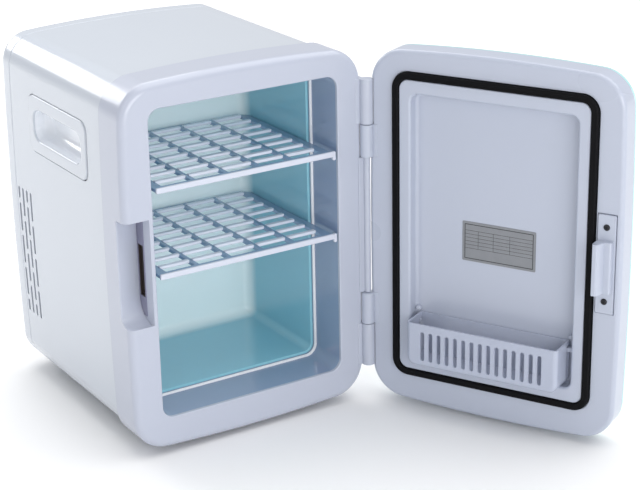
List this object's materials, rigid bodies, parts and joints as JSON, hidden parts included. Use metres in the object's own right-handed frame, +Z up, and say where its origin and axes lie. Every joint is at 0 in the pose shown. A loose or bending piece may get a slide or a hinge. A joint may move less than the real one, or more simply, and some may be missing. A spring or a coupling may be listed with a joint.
{
  "type": "mini fridge",
  "caption": "Table-top thermoelectric mini fridge with a side-hinged door, pull-out shelves, a lift-out door bin, side handle recesses and a rear cooling unit.",
  "frame": {"origin": "on the floor under the middle of the cabinet, door left out of the measure", "axes": "+Z up, the door side faces -Y, +X to the right seen from the front, where the hinge is"},
  "size_m": [0.3798, 0.4716, 0.3399],
  "materials": {
    "shell_white": "smooth gloss",
    "sleeve_grey": "smooth gloss",
    "liner_mint": "smooth gloss",
    "foam": "closed-cell foam",
    "black_plastic": "fine texture",
    "rubber": "matt",
    "steel": "bright",
    "steel_dark": "black oxide",
    "aluminium": "extruded",
    "ceramic": "white ceramic",
    "board": "coated board",
    "shelf_white": "smooth gloss",
    "panel_mint": "high gloss",
    "gasket_black": "smooth rubber",
    "plate_silver": "printed film"
  },
  "bodies": {
    "cabinet": {"outer_shell": "shell_white", "front_collar": "shell_white", "entry_sleeve": "sleeve_grey", "liner": "liner_mint", "foam_insulation": "foam", "rear_cover": "shell_white", "handle_cup_left": "shell_white", "handle_cup_right": "shell_white", "latch_pocket": "black_plastic", "feet": "rubber", "hinge_pin_upper": "steel", "hinge_pin_lower": "steel", "cold_block": "aluminium", "thermoelectric_module": "ceramic", "module_screws": "steel_dark", "heat_sink": "aluminium", "fan_frame": "black_plastic", "fan_screws": "steel_dark", "power_board": "board", "mains_inlet": "black_plastic", "car_inlet": "black_plastic", "switch_housing": "black_plastic", "cover_screws": "steel_dark"},
    "fan_rotor": {"fan_rotor": "black_plastic"},
    "mode_rocker": {"mode_rocker": "black_plastic"},
    "upper_shelf": {"upper_shelf": "shelf_white"},
    "lower_shelf": {"lower_shelf": "shelf_white"},
    "door": {"door_inner_panel": "shell_white", "door_front_panel": "panel_mint", "door_foam": "foam", "door_gasket": "gasket_black", "latch_catch": "shelf_white", "catch_screws": "steel_dark", "rating_plate": "plate_silver"},
    "door_bin": {"door_bin": "shelf_white"}
  },
  "joints": [
    {"name": "door_hinge", "type": "hinge", "parent": "cabinet", "child": "door", "pos_m": [0.121, -0.13, 0.172], "axis": [0, 0, 1], "range_deg": [-118, 42]},
    {"name": "upper_shelf_slide", "type": "slide", "parent": "cabinet", "child": "upper_shelf", "axis": [0, -1, 0], "range_m": [0, 0.14]},
    {"name": "lower_shelf_slide", "type": "slide", "parent": "cabinet", "child": "lower_shelf", "axis": [0, -1, 0], "range_m": [0, 0.14]},
    {"name": "bin_lift", "type": "slide", "parent": "door", "child": "door_bin", "axis": [0, 0, 1], "range_m": [0, 0.04]},
    {"name": "fan_spin", "type": "hinge", "parent": "cabinet", "child": "fan_rotor", "pos_m": [0, 0.086, 0.19], "axis": [0, 1, 0], "continuous": true},
    {"name": "mode_rocker_tilt", "type": "hinge", "parent": "cabinet", "child": "mode_rocker", "pos_m": [-0.04, 0.127, 0.05], "axis": [0, 0, 1], "range_deg": [-10, 10]}
  ]
}
